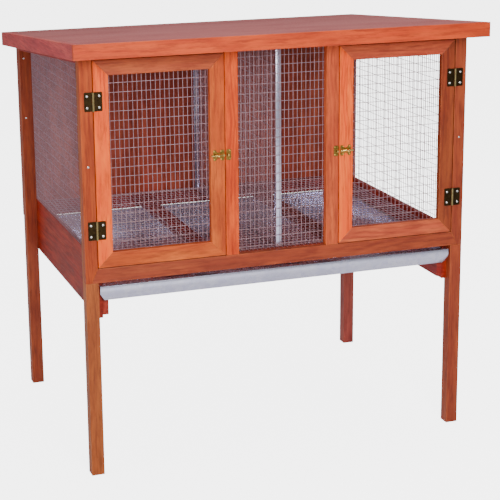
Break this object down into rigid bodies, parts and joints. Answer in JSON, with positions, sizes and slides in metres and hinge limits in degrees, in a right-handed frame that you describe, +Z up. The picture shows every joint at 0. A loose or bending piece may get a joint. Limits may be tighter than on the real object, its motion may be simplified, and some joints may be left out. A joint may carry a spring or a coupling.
{
  "type": "rabbit hutch",
  "caption": "Raised timber rabbit hutch on legs: hinged mesh doors with barrel bolts, mesh floor over a pull-out tray, mesh divider and a pent roof.",
  "frame": {"origin": "centre of the overall box, on the ground under the feet", "axes": "+X to the right along the front, +Y from the front to the back, +Z up"},
  "size_m": [1.188, 0.96, 1.211],
  "materials": {
    "frame_timber": "orange-red stained fir, satin",
    "door_timber": "orange-red stained fir, satin",
    "inner_timber": "dark red stained fir, matte",
    "roof_board": "orange-red stained fir, satin",
    "roof_felt": "mauve-red roofing felt, matte",
    "mesh_wire": "galvanised welded wire",
    "galvanised_sheet": "galvanised sheet, soft sheen",
    "hinge_brass": "antique brass, dark lacquer",
    "bolt_brass": "lacquered brass",
    "screw_zinc": "bright zinc plate"
  },
  "bodies": {
    "hutch": {"back_boards": "inner_timber", "bolt_keeper_left": "bolt_brass", "bolt_keeper_right": "bolt_brass", "centre_mesh": "mesh_wire", "divider_channels": "galvanised_sheet", "divider_mesh": "mesh_wire", "floor_bearers": "inner_timber", "floor_ledger": "inner_timber", "floor_mesh": "mesh_wire", "frame_hinge_leaves_left": "hinge_brass", "frame_hinge_leaves_right": "hinge_brass", "frame_screws": "screw_zinc", "front_rail_bottom": "frame_timber", "front_rail_top": "frame_timber", "front_stile_left": "frame_timber", "front_stile_right": "frame_timber", "hardware_screws": "screw_zinc", "hinge_pins": "hinge_brass", "leg_front_left": "frame_timber", "leg_front_right": "frame_timber", "leg_rear_left": "frame_timber", "leg_rear_right": "frame_timber", "mullion_left": "frame_timber", "mullion_right": "frame_timber", "rear_rail_bottom": "inner_timber", "rear_rail_top": "inner_timber", "roof_deck": "roof_board", "roof_fascia_front": "roof_board", "roof_fascia_left": "roof_board", "roof_fascia_rear": "roof_board", "roof_fascia_right": "roof_board", "roof_felt": "roof_felt", "side_mesh_left": "mesh_wire", "side_mesh_right": "mesh_wire", "side_rail_left": "inner_timber", "side_rail_right": "inner_timber", "side_skirt_left": "inner_timber", "side_skirt_right": "inner_timber", "tray_runner_left": "inner_timber", "tray_runner_right": "inner_timber"},
    "tray": {"tray": "galvanised_sheet"},
    "door_left": {"door_left_bolt_plate": "bolt_brass", "door_left_bottom_rail": "door_timber", "door_left_hinge_leaves": "hinge_brass", "door_left_hinge_stile": "door_timber", "door_left_latch_stile": "door_timber", "door_left_mesh": "mesh_wire", "door_left_screws": "screw_zinc", "door_left_top_rail": "door_timber"},
    "bolt_left": {"door_left_bolt": "bolt_brass"},
    "door_right": {"door_right_bolt_plate": "bolt_brass", "door_right_bottom_rail": "door_timber", "door_right_hinge_leaves": "hinge_brass", "door_right_hinge_stile": "door_timber", "door_right_latch_stile": "door_timber", "door_right_mesh": "mesh_wire", "door_right_screws": "screw_zinc", "door_right_top_rail": "door_timber"},
    "bolt_right": {"door_right_bolt": "bolt_brass"}
  },
  "joints": [
    {"name": "door_left_hinge", "type": "hinge", "parent": "hutch", "child": "door_left", "pos_m": [-0.5275, -0.4051, 0.8735], "axis": [0, 0, -1], "range_deg": [0, 165]},
    {"name": "door_right_hinge", "type": "hinge", "parent": "hutch", "child": "door_right", "pos_m": [0.5275, -0.4051, 0.8735], "axis": [0, 0, 1], "range_deg": [0, 165]},
    {"name": "bolt_left_slide", "type": "slide", "parent": "door_left", "child": "bolt_left", "axis": [1, 0, 0], "range_m": [0, 0.012]},
    {"name": "bolt_right_slide", "type": "slide", "parent": "door_right", "child": "bolt_right", "axis": [-1, 0, 0], "range_m": [0, 0.012]},
    {"name": "tray_slide", "type": "slide", "parent": "hutch", "child": "tray", "axis": [0, -1, 0], "range_m": [0, 0.6]}
  ]
}
